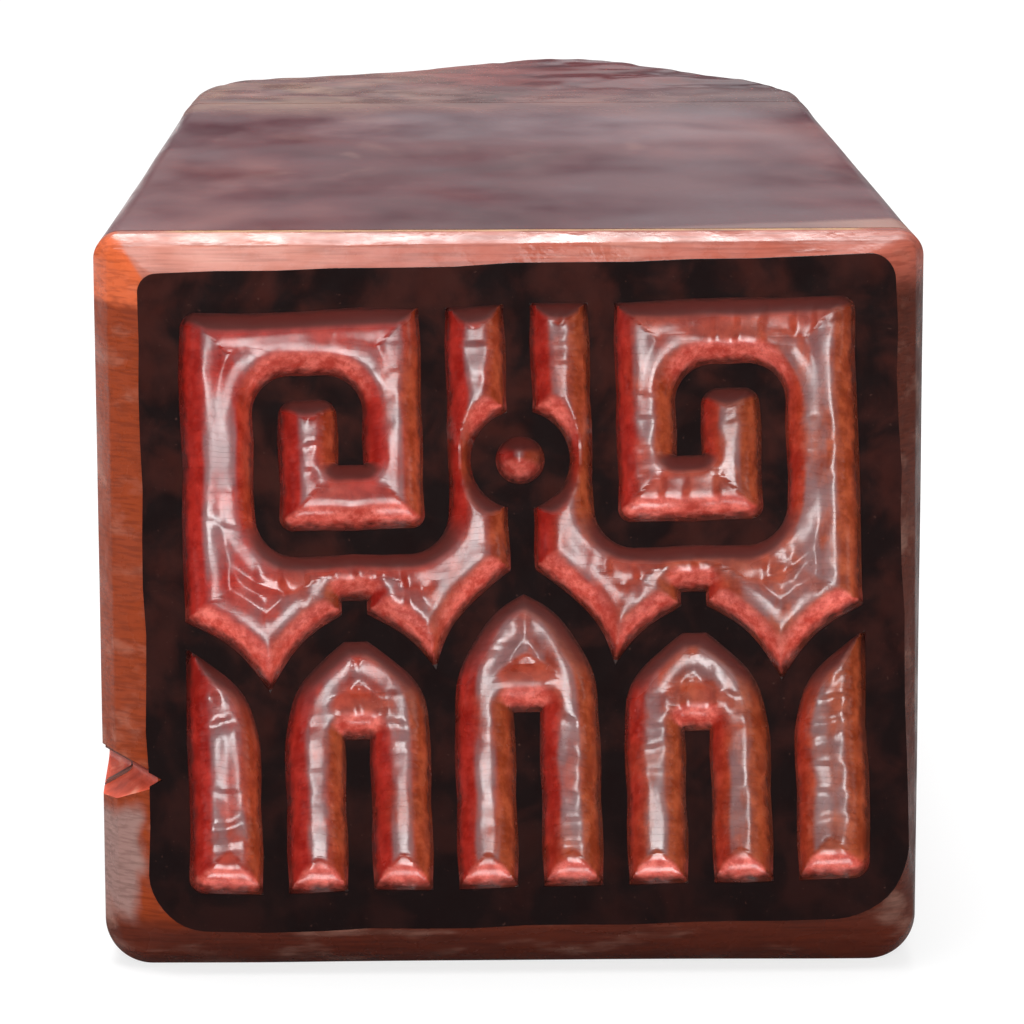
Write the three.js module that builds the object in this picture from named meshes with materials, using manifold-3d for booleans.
// A square seal stamp for calligraphy and painting, lying on one long side.
// The carved face looks along -Y, the hill-shaped crown is at the +Y end, and Z is up. Millimetres.
// The origin is in the middle of the underside.
import * as THREE from "three";
import Module from "manifold-3d";

const wasm = await Module();
wasm.setup();

// The block: its section, and how far its long edges are rounded over.
const BLOCK_WIDTH = 25.8;
const BLOCK_HEIGHT = 23.4;
const BODY_LENGTH = 44.4;
const UPPER_EDGE_RADIUS = 0.8;
const LOWER_EDGE_RADIUS = 1.5;

// The face plate, and the two facets that were rubbed round its front edge.
const PLATE_THICKNESS = 2.1;
const BEVEL_DEPTH = 1.5;
const BEVEL_BREAK_DEPTH = 0.65;
const BEVEL_BREAK_SHARE = 0.32; // how far the line between the facets lies in from the sides towards the rim

// Bare margin from the sides of the block to the corners of the raised rim. The rim was laid out by hand, a
// little askew, so each side has one margin at each of its ends.
const MARGIN_LEFT_LOW = 1.58;
const MARGIN_LEFT_HIGH = 1.45;
const MARGIN_RIGHT_LOW = 0.3;
const MARGIN_RIGHT_HIGH = 1.05;
const MARGIN_BOTTOM_LEFT = 1.38;
const MARGIN_BOTTOM_RIGHT = 1.8;
const MARGIN_TOP_LEFT = 1.08;
const MARGIN_TOP_RIGHT = 0.55;

// The carving. The pattern stands out and the grooves round it are cut away.
const RIM_WIDTH = 1.25;
const RIM_LOWER_LEFT_RADIUS = 1.9;
const RIM_LOWER_RIGHT_RADIUS = 2.3;
const RIM_UPPER_RIGHT_RADIUS = 0.8;
const RIM_UPPER_LEFT_RADIUS = 0.6;
const RIM_INNER_RADIUS = 0.5;
const STROKE_WIDTH = 0.78;
const STROKE_SWELL = 0.07;
const STROKE_SWELL_LENGTH = 2.7;
const FRET_INNER_RADIUS = 0.12;
const PEARL_RADIUS = 1.15;
const GROOVE_DEPTH = 1.0;
const GROOVE_WALL_LEAN = 0.34;
const HAND_WAVER = 0.05;
const LONG_WAVE = 5.2;
const SHORT_WAVE = 2.3;
const INK_THICKNESS = 0.1;

// A notch filed across the left edge tells the fingers which way up the print will be.
const NOTCH_HEIGHT = 6.37;
const NOTCH_WIDTH = 2.3;
const NOTCH_REACH = 2;
const NOTCH_RUN = 4.5;

// Joinery: a tenon holds the plate, a dowel holds the crown, and a thin bond line closes each joint.
const BOND_THICKNESS = 0.15;
const BOND_SETBACK = 0.05;
const TENON_WIDTH = 15;
const TENON_HEIGHT = 13;
const TENON_LENGTH = 3;
const TENON_CORNER_RADIUS = 1;
const TENON_CLEARANCE = 0.15;
const TENON_END_CLEARANCE = 0.3;
const DOWEL_RADIUS = 2.5;
const DOWEL_LENGTH = 16;
const DOWEL_CLEARANCE = 0.1;
const DOWEL_END_CLEARANCE = 0.5;

// The crown: square rounded shoulders with a hill that peaks right of the middle.
const SHOULDER_RISE = 15.7;
const SHOULDER_SQUARENESS = 4;
const HILL_RISE = 9.8;
const HILL_OFFSET = 3.6;
const HILL_SPREAD_LEFT = 6;
const HILL_SPREAD_RIGHT = 4.4;
const CROWN_UPPER_ROUNDING = 1.4;
const CROWN_LOWER_ROUNDING = 4.5;

// How finely curves are drawn.
const CORNER_STEPS = 10;
const SIDE_STEPS = 12;
const DOWEL_SIDES = 32;
const CROWN_STEPS = 36;
const CROWN_ROUNDING_STEPS = 6;
const STROKE_STEP = 0.9;
const LEAST_LAYER = 0.02; // layers of the crown closer than this are one
const LONGEST_CORNER_SHARE = 0.49; // a corner's arc takes up to this share of the shorter side beside it
const OVERRUN = 0.5; // how far a cutter runs past the surface that it cuts

// Stations along the seal, from the stamping plane back.
const plateFront = INK_THICKNESS;
const plateBack = plateFront + PLATE_THICKNESS;
const bodyFront = plateBack + BOND_THICKNESS;
const bodyBack = bodyFront + BODY_LENGTH;
const crownFront = bodyBack + BOND_THICKNESS;
const grooveFloor = plateFront + GROOVE_DEPTH;

// The dowel is set half in the body, down to the bottom of its hole, and half in the crown.
const dowelFront = bodyBack - DOWEL_LENGTH / 2;
const dowelBack = dowelFront + DOWEL_LENGTH;

// The block's section.
const middleHeight = BLOCK_HEIGHT / 2;
const leftSide = -BLOCK_WIDTH / 2;
const rightSide = BLOCK_WIDTH / 2;

const point = (x, z) => new THREE.Vector2(x, z);
const count = (n) => Array.from({ length: n }, (_, i) => i);

// Solids

// Turns vertices and triangles into a solid, with its faces made to look outwards.
function solidFrom(vertices, triangles) {
  const volume = triangles.reduce((sum, [a, b, c]) => {
    const normal = vertices[b].clone().cross(vertices[c]);
    return sum + vertices[a].dot(normal) / 6;
  }, 0);
  const outward = volume > 0 ? triangles : triangles.map(([a, b, c]) => [a, c, b]);
  const vertProperties = new Float32Array(vertices.flatMap((v) => v.toArray()));
  const triVerts = new Uint32Array(outward.flat());
  return new wasm.Manifold(new wasm.Mesh({ numProp: 3, vertProperties, triVerts }));
}

// Skins a row of closed rings that have the same number of points. A fan round a centre closes each end.
function solidFromRings(rings, firstCentre, lastCentre) {
  const size = rings[0].length;
  const vertices = [...rings.flat(), firstCentre, lastCentre];
  const firstHub = vertices.length - 2;
  const lastHub = vertices.length - 1;
  const lastRing = (rings.length - 1) * size;
  const triangles = [];
  for (const i of count(size)) {
    const next = (i + 1) % size;
    for (const ring of count(rings.length - 1)) {
      const here = ring * size;
      const there = here + size;
      triangles.push([here + i, there + next, here + next], [here + i, there + i, there + next]);
    }
    triangles.push([firstHub, i, next], [lastHub, lastRing + next, lastRing + i]);
  }
  return solidFrom(vertices, triangles);
}

// A solid through outlines of the X-Z plane, each set at its own depth along Y.
function loft(...sections) {
  const rings = sections.map(([depth, outline]) => outline.map((p) => new THREE.Vector3(p.x, depth, p.y)));
  const middle = (ring) => ring.reduce((sum, v) => sum.add(v), new THREE.Vector3()).divideScalar(ring.length);
  return solidFromRings(rings, middle(rings[0]), middle(rings.at(-1)));
}

function cylinderAlongY(radius, front, back) {
  const circle = count(DOWEL_SIDES).map((i) => {
    const angle = (i / DOWEL_SIDES) * 2 * Math.PI;
    return point(radius * Math.cos(angle), middleHeight + radius * Math.sin(angle));
  });
  return loft([front, circle], [back, circle]);
}

// Outlines, drawn in the X-Z plane as seen from the front

// The arc that rounds a corner, from the side that comes in to the side that goes out.
function cornerArc(before, corner, after, radius) {
  const towardsBefore = before.clone().sub(corner).normalize();
  const towardsAfter = after.clone().sub(corner).normalize();
  const halfAngle = Math.acos(THREE.MathUtils.clamp(towardsBefore.dot(towardsAfter), -1, 1)) / 2;
  const longest = LONGEST_CORNER_SHARE * Math.min(before.distanceTo(corner), after.distanceTo(corner));
  const setback = Math.min(radius / Math.tan(halfAngle), longest);
  const used = setback * Math.tan(halfAngle);
  const start = towardsBefore.clone().multiplyScalar(setback).add(corner);
  const end = towardsAfter.clone().multiplyScalar(setback).add(corner);
  const inwards = towardsBefore.clone().add(towardsAfter).normalize();
  const centre = inwards.multiplyScalar(used / Math.sin(halfAngle)).add(corner);
  const turn = Math.sign(towardsAfter.cross(towardsBefore)) * (Math.PI - 2 * halfAngle);
  const between = count(CORNER_STEPS - 1).map((i) => {
    return start.clone().rotateAround(centre, (turn * (i + 1)) / CORNER_STEPS);
  });
  return [start, ...between, end];
}

// Four straight sides with rounded corners, of one radius for all or one for each. All these outlines have
// the same number of points, to be lofted.
function roundedOutline(corners, ...radii) {
  const arcs = corners.map((corner, i) => {
    return cornerArc(corners.at(i - 1), corner, corners[(i + 1) % 4], radii[i % radii.length]);
  });
  return arcs.flatMap((arc, i) => {
    const start = arc.at(-1);
    const end = arcs[(i + 1) % 4][0];
    const side = count(SIDE_STEPS - 1).map((k) => start.clone().lerp(end, (k + 1) / SIDE_STEPS));
    return [...arc, ...side];
  });
}

// The corners of an upright box, anticlockwise from the lower left.
function boxCorners(left, bottom, right, top) {
  return [point(left, bottom), point(right, bottom), point(right, top), point(left, top)];
}

// The corners of the same shape with every side moved inwards. The sides are close to upright and level.
function insetCorners([lowerLeft, lowerRight, upperRight, upperLeft], distance) {
  return [
    point(lowerLeft.x + distance, lowerLeft.y + distance),
    point(lowerRight.x - distance, lowerRight.y + distance),
    point(upperRight.x - distance, upperRight.y - distance),
    point(upperLeft.x + distance, upperLeft.y - distance),
  ];
}

function blockOutline(setback = 0) {
  const corners = insetCorners(boxCorners(leftSide, 0, rightSide, BLOCK_HEIGHT), setback);
  const radii = [LOWER_EDGE_RADIUS, LOWER_EDGE_RADIUS, UPPER_EDGE_RADIUS, UPPER_EDGE_RADIUS];
  return roundedOutline(corners, ...radii);
}

function tenonOutline(clearance) {
  const halfWidth = TENON_WIDTH / 2 + clearance;
  const halfHeight = TENON_HEIGHT / 2 + clearance;
  const corners = boxCorners(-halfWidth, middleHeight - halfHeight, halfWidth, middleHeight + halfHeight);
  return roundedOutline(corners, TENON_CORNER_RADIUS);
}

// The unsteady hand: a long and a short wave, added, that never stray further than one.
function handWave(distance) {
  const turns = 2 * Math.PI * distance;
  return 0.6 * Math.sin(turns / LONG_WAVE + 1) + 0.4 * Math.sin(turns / SHORT_WAVE + 2);
}

function waver(p) {
  return point(p.x + HAND_WAVER * handWave(p.y), p.y + HAND_WAVER * handWave(p.x));
}

// The rim's outer corners, and the corners of the carved field inside it.
const rimCorners = [
  point(leftSide + MARGIN_LEFT_LOW, MARGIN_BOTTOM_LEFT),
  point(rightSide - MARGIN_RIGHT_LOW, MARGIN_BOTTOM_RIGHT),
  point(rightSide - MARGIN_RIGHT_HIGH, BLOCK_HEIGHT - MARGIN_TOP_RIGHT),
  point(leftSide + MARGIN_LEFT_HIGH, BLOCK_HEIGHT - MARGIN_TOP_LEFT),
];
const rimRadii = [
  RIM_LOWER_LEFT_RADIUS, RIM_LOWER_RIGHT_RADIUS, RIM_UPPER_RIGHT_RADIUS, RIM_UPPER_LEFT_RADIUS,
];
const fieldCorners = insetCorners(rimCorners, RIM_WIDTH);

function rimOutline() {
  return roundedOutline(rimCorners, ...rimRadii).map(waver);
}

// The carved field, drawn in or out by a distance on every side.
function fieldOutline(distance) {
  return roundedOutline(insetCorners(fieldCorners, distance), RIM_INNER_RADIUS).map(waver);
}

// The pattern: a key fret above a row of lotus petals, mirrored about the middle

// A place in the field: across and up run from -1 to 1 between opposite sides.
function place(across, up) {
  const [lowerLeft, lowerRight, upperRight, upperLeft] = fieldCorners;
  const low = lowerLeft.clone().lerp(lowerRight, (across + 1) / 2);
  const high = upperLeft.clone().lerp(upperRight, (across + 1) / 2);
  return low.lerp(high, (up + 1) / 2);
}

// Upright lines from the middle outwards, and level lines from the top down.
const COLUMNS = [0.25, 0.5, 0.75];
const ROWS = [0.74, 0.475, 0.21];

// The petals' tips, where their straight legs start to curve, and how far below a tip its shoulder is.
const CENTRE_APEX = 0.07;
const CENTRE_SPRING = -0.42;
const SIDE_APEX = -0.06;
const SIDE_SPRING = -0.5;
const SHOULDER_DROP = 0.15;
const CENTRE_VEIN_TOP = -0.39;
const SIDE_VEIN_TOP = -0.47;

// Half the length of the short stub that closes the tip of a side petal.
const PETAL_TIP = 0.07;

// Lines that meet the rim run on into it, past the edge of the field.
const EDGE = 1.06;

// Splits straight stretches so that no step is longer than one stroke step.
function refine(points) {
  const finer = points.slice(1).flatMap((end, i) => {
    const start = points[i];
    const steps = Math.max(1, Math.ceil(start.distanceTo(end) / STROKE_STEP));
    return count(steps).map((k) => start.clone().lerp(end, (k + 1) / steps));
  });
  return [points[0], ...finer];
}

// A bent line with every bend rounded just enough for the foot of the stroke to stay open inside it.
function bentLine(...stops) {
  const radius = FRET_INNER_RADIUS + STROKE_WIDTH / 2 + GROOVE_WALL_LEAN;
  const bends = stops.slice(1, -1).flatMap((stop, i) => cornerArc(stops[i], stop, stops[i + 2], radius));
  return refine([stops[0], ...bends, stops.at(-1)]);
}

// A line that runs straight from its first stop to its second, then curves to its last.
function petalSide(base, spring, shoulder, apex) {
  const curve = new THREE.QuadraticBezierCurve(spring, shoulder, apex);
  return [...refine([base, spring]), ...curve.getPoints(2 * CORNER_STEPS).slice(1)];
}

// The strokes on one side of the middle: side is 1 on the right and -1 on the left.
function sideStrokes(side) {
  const at = (across, up) => place(side * across, up);
  const [first, second, third] = COLUMNS;
  const [high, middle, low] = ROWS;
  const centreShoulder = CENTRE_APEX - SHOULDER_DROP;
  const sideShoulder = SIDE_APEX - SHOULDER_DROP;
  const fret = bentLine(
    at(first, EDGE), at(first, low), at(third, low), at(third, high), at(second, high), at(second, middle),
  );
  const centreLeg = [at(first, -EDGE), at(first, CENTRE_SPRING)];
  const centrePetal = petalSide(...centreLeg, at(first, centreShoulder), at(0, CENTRE_APEX));
  const innerPetal = petalSide(...centreLeg, at(first, sideShoulder), at(second, SIDE_APEX));
  const outerLeg = [at(third, -EDGE), at(third, SIDE_SPRING)];
  const outerPetal = petalSide(...outerLeg, at(third, sideShoulder), at(second, SIDE_APEX));
  const edgePetal = petalSide(...outerLeg, at(third, sideShoulder), at(EDGE, SIDE_APEX));
  const tip = [at(second, SIDE_APEX - PETAL_TIP), at(second, SIDE_APEX + PETAL_TIP)];
  const vein = refine([at(second, -EDGE), at(second, SIDE_VEIN_TOP)]);
  return [fret, centrePetal, innerPetal, outerPetal, edgePetal, tip, vein];
}

// The strokes on the middle line: a stem from the rim to the pearl, one from it to the petal, and a vein.
function middleStrokes() {
  const pearlTop = point(pearlCentre.x, pearlCentre.y + PEARL_RADIUS);
  const pearlFoot = point(pearlCentre.x, pearlCentre.y - PEARL_RADIUS);
  const upperStem = refine([place(0, EDGE), pearlTop]);
  const lowerStem = refine([pearlFoot, place(0, CENTRE_APEX)]);
  const vein = refine([place(0, -EDGE), place(0, CENTRE_VEIN_TOP)]);
  return [upperStem, lowerStem, vein];
}

const pearlCentre = place(0, ROWS[1]);
const strokes = [...sideStrokes(-1), ...sideStrokes(1), ...middleStrokes()];

// The two edges of a stroke, half a width to each side of its line. Its width swells and thins a little.
function strokeEdges(line, spread) {
  let travelled = 0;
  return line.map((here, i) => {
    const before = line[Math.max(i - 1, 0)];
    const after = line[Math.min(i + 1, line.length - 1)];
    travelled += before.distanceTo(here);
    const swell = 1 + STROKE_SWELL * Math.sin((2 * Math.PI * travelled) / STROKE_SWELL_LENGTH);
    const half = (STROKE_WIDTH / 2) * swell + spread;
    const along = after.clone().sub(before).normalize();
    const sideways = point(-along.y, along.x).multiplyScalar(half);
    return [here.clone().add(sideways), here.clone().sub(sideways)];
  });
}

// One stroke as a bar between two depths. Its back is wider than its front by the spread on each side.
function strokeBar(line, front, back, spread) {
  const narrow = strokeEdges(line, 0);
  const wide = strokeEdges(line, spread);
  const rings = line.map((_, i) => [
    new THREE.Vector3(narrow[i][0].x, front, narrow[i][0].y),
    new THREE.Vector3(narrow[i][1].x, front, narrow[i][1].y),
    new THREE.Vector3(wide[i][1].x, back, wide[i][1].y),
    new THREE.Vector3(wide[i][0].x, back, wide[i][0].y),
  ]);
  const middle = (ring) => ring[0].clone().add(ring[1]).add(ring[2]).add(ring[3]).divideScalar(4);
  return solidFromRings(rings, middle(rings[0]), middle(rings.at(-1)));
}

// The pearl's ring, with the same section as a stroke.
function pearlBar(front, back, spread) {
  const angles = count(4 * CORNER_STEPS + 1).map((i) => (i / (4 * CORNER_STEPS)) * 2 * Math.PI);
  const circle = (radius) => angles.slice(1).map((angle) => {
    return point(pearlCentre.x + radius, pearlCentre.y).rotateAround(pearlCentre, angle);
  });
  const outer = PEARL_RADIUS + STROKE_WIDTH / 2;
  const inner = PEARL_RADIUS - STROKE_WIDTH / 2;
  const whole = loft([front, circle(outer)], [back, circle(outer + spread)]);
  const pit = loft([front - OVERRUN, circle(inner)], [front, circle(inner)], [back, circle(inner - spread)]);
  return whole.subtract(pit);
}

// Every raised line of the pattern between two depths, joined.
function pattern(front, back, spread) {
  const bars = strokes.map((line) => strokeBar(line, front, back, spread));
  return bars.reduce((sum, bar) => sum.add(bar), pearlBar(front, back, spread));
}

// Pieces

// The wedge that the notch is filed with. Its edge runs from the stamping plane back to the left side.
function notchWedge() {
  const frontEnd = point(leftSide + NOTCH_REACH, 0);
  const sideEnd = point(leftSide, NOTCH_RUN);
  const along = sideEnd.clone().sub(frontEnd).normalize();
  const outwards = point(-along.y, along.x);
  const depth = (NOTCH_REACH * NOTCH_RUN) / frontEnd.distanceTo(sideEnd);
  const oversize = 2;
  const triangleAt = (p) => {
    const far = outwards.clone().multiplyScalar(oversize * depth).add(p);
    const half = (oversize * NOTCH_WIDTH) / 2;
    return [
      new THREE.Vector3(p.x, p.y, NOTCH_HEIGHT),
      new THREE.Vector3(far.x, far.y, NOTCH_HEIGHT + half),
      new THREE.Vector3(far.x, far.y, NOTCH_HEIGHT - half),
    ];
  };
  const first = triangleAt(along.clone().multiplyScalar(-oversize * NOTCH_REACH).add(frontEnd));
  const last = triangleAt(along.clone().multiplyScalar(oversize * NOTCH_REACH).add(sideEnd));
  const middle = (ring) => ring[0].clone().add(ring[1]).add(ring[2]).divideScalar(3);
  return solidFromRings([first, last], middle(first), middle(last));
}

const notch = notchWedge();

// Ink lies on whatever touches the paper: the rim and the pattern.
function inkCoat() {
  const frame = loft([0, rimOutline()], [plateFront, rimOutline()]);
  const opening = loft([-OVERRUN, fieldOutline(0)], [plateFront + OVERRUN, fieldOutline(0)]);
  return frame.subtract(opening).add(pattern(0, plateFront, 0)).subtract(notch);
}

// The plate is full at its back, and two facets draw it in to the rim. The pattern stands in the sunk field.
function facePlate() {
  const rim = rimOutline();
  const block = blockOutline();
  const facetBreak = block.map((p, i) => p.clone().lerp(rim[i], BEVEL_BREAK_SHARE));
  const blank = loft(
    [plateFront, rim],
    [plateFront + BEVEL_BREAK_DEPTH, facetBreak],
    [plateFront + BEVEL_DEPTH, block],
    [plateBack, block],
  );
  const steep = GROOVE_WALL_LEAN / GROOVE_DEPTH;
  const pocket = loft(
    [plateFront - OVERRUN, fieldOutline(-steep * OVERRUN)],
    [grooveFloor, fieldOutline(GROOVE_WALL_LEAN)],
  );
  const sunk = (grooveFloor + plateBack) / 2;
  const relief = pattern(plateFront, sunk, steep * (sunk - plateFront));
  const tenon = loft([sunk, tenonOutline(0)], [plateBack + TENON_LENGTH, tenonOutline(0)]);
  return blank.subtract(pocket).add(relief).add(tenon).subtract(notch);
}

// The film between the plate and the body goes round the tenon.
function faceBond() {
  const film = loft([plateBack, blockOutline(BOND_SETBACK)], [bodyFront, blockOutline(BOND_SETBACK)]);
  const opening = loft(
    [plateBack - OVERRUN, tenonOutline(TENON_CLEARANCE)],
    [bodyFront + OVERRUN, tenonOutline(TENON_CLEARANCE)],
  );
  return film.subtract(opening).subtract(notch);
}

// The body has a mortise for the tenon in front and a blind hole for the dowel at the back.
function bodyBlock() {
  const whole = loft([bodyFront, blockOutline()], [bodyBack, blockOutline()]);
  const mortise = loft(
    [bodyFront - OVERRUN, tenonOutline(TENON_CLEARANCE)],
    [plateBack + TENON_LENGTH + TENON_END_CLEARANCE, tenonOutline(TENON_CLEARANCE)],
  );
  const hole = dowelHole(dowelFront, bodyBack + OVERRUN);
  return whole.subtract(mortise).subtract(hole).subtract(notch);
}

function dowelHole(front, back) {
  return cylinderAlongY(DOWEL_RADIUS + DOWEL_CLEARANCE, front, back);
}

function crownDowel() {
  return cylinderAlongY(DOWEL_RADIUS, dowelFront, dowelBack);
}

function crownBond() {
  const film = loft([bodyBack, blockOutline(BOND_SETBACK)], [crownFront, blockOutline(BOND_SETBACK)]);
  return film.subtract(dowelHole(bodyBack - OVERRUN, crownFront + OVERRUN));
}

// How far the crown reaches behind its joint: across runs from -1 to 1 between the sides.
function crownRise(across) {
  const shoulder = (1 - Math.abs(across) ** SHOULDER_SQUARENESS) ** (1 / SHOULDER_SQUARENESS);
  const fromPeak = (across * BLOCK_WIDTH) / 2 - HILL_OFFSET;
  const spread = fromPeak < 0 ? HILL_SPREAD_LEFT : HILL_SPREAD_RIGHT;
  return shoulder * (SHOULDER_RISE + HILL_RISE * Math.exp(-((fromPeak / spread) ** 2)));
}

// How far a rounded edge lies inside the surface, at a distance from the end of a piece.
function edgeInset(distance, radius) {
  return distance < radius ? radius - Math.sqrt(radius ** 2 - (radius - distance) ** 2) : 0;
}

// The crown is built in level layers, like a contour model, closer together where its edges are rounded.
function crownHeights() {
  const near = (radius) => count(CROWN_ROUNDING_STEPS + 1).map((i) => {
    return radius * (1 - Math.cos((i / CROWN_ROUNDING_STEPS) * (Math.PI / 2)));
  });
  const fromBelow = [...near(LOWER_EDGE_RADIUS), ...near(CROWN_LOWER_ROUNDING)];
  const fromAbove = [...near(UPPER_EDGE_RADIUS), ...near(CROWN_UPPER_ROUNDING)].map((d) => BLOCK_HEIGHT - d);
  const sorted = [...fromBelow, ...fromAbove].sort((a, b) => a - b);
  return sorted.filter((height, i) => i === 0 || height - sorted[i - 1] > LEAST_LAYER);
}

function crownLayer(height) {
  const lowerEdge = edgeInset(height, LOWER_EDGE_RADIUS);
  const upperEdge = edgeInset(BLOCK_HEIGHT - height, UPPER_EDGE_RADIUS);
  const halfWidth = BLOCK_WIDTH / 2 - lowerEdge - upperEdge;
  const lower = edgeInset(height, CROWN_LOWER_ROUNDING);
  const upper = edgeInset(BLOCK_HEIGHT - height, CROWN_UPPER_ROUNDING);
  const fullness = 1 - (lower + upper) / SHOULDER_RISE;
  return count(CROWN_STEPS + 1).map((i) => {
    const across = -Math.cos((i / CROWN_STEPS) * Math.PI);
    return new THREE.Vector3(across * halfWidth, crownFront + fullness * crownRise(across), height);
  });
}

function crown() {
  const heights = crownHeights();
  const centreAt = (height) => new THREE.Vector3(HILL_OFFSET, crownFront + OVERRUN, height);
  const whole = solidFromRings(heights.map(crownLayer), centreAt(heights[0]), centreAt(heights.at(-1)));
  return whole.subtract(dowelHole(crownFront - OVERRUN, dowelBack + DOWEL_END_CLEARANCE));
}

// Materials

function material(color, roughness) {
  return new THREE.MeshStandardMaterial({ color, roughness, metalness: 0 });
}

// Assembly

function piece(name, solid, finish) {
  const { vertProperties, triVerts } = solid.getMesh();
  const geometry = new THREE.BufferGeometry();
  geometry.setAttribute("position", new THREE.BufferAttribute(vertProperties, 3));
  geometry.setIndex(new THREE.BufferAttribute(triVerts, 1));
  geometry.computeVertexNormals();
  const mesh = new THREE.Mesh(geometry, finish);
  mesh.name = name;
  return mesh;
}

const farthest = Math.max(...crownLayer(middleHeight).map((v) => v.y));

const seal = new THREE.Group();
seal.add(
  piece("ink_coat", inkCoat(), material(0x1f1214, 0.6)),
  piece("face_slab", facePlate(), material(0xa8301c, 0.25)),
  piece("face_bond_line", faceBond(), material(0xc9a36a, 0.5)),
  piece("body_block", bodyBlock(), material(0x6b3f3c, 0.2)),
  piece("crown_dowel", crownDowel(), material(0xb08a5a, 0.7)),
  piece("crown_bond_line", crownBond(), material(0xb98a5c, 0.5)),
  piece("crown", crown(), material(0x8a4034, 0.35)),
);
seal.position.y = -farthest / 2;

export default seal;
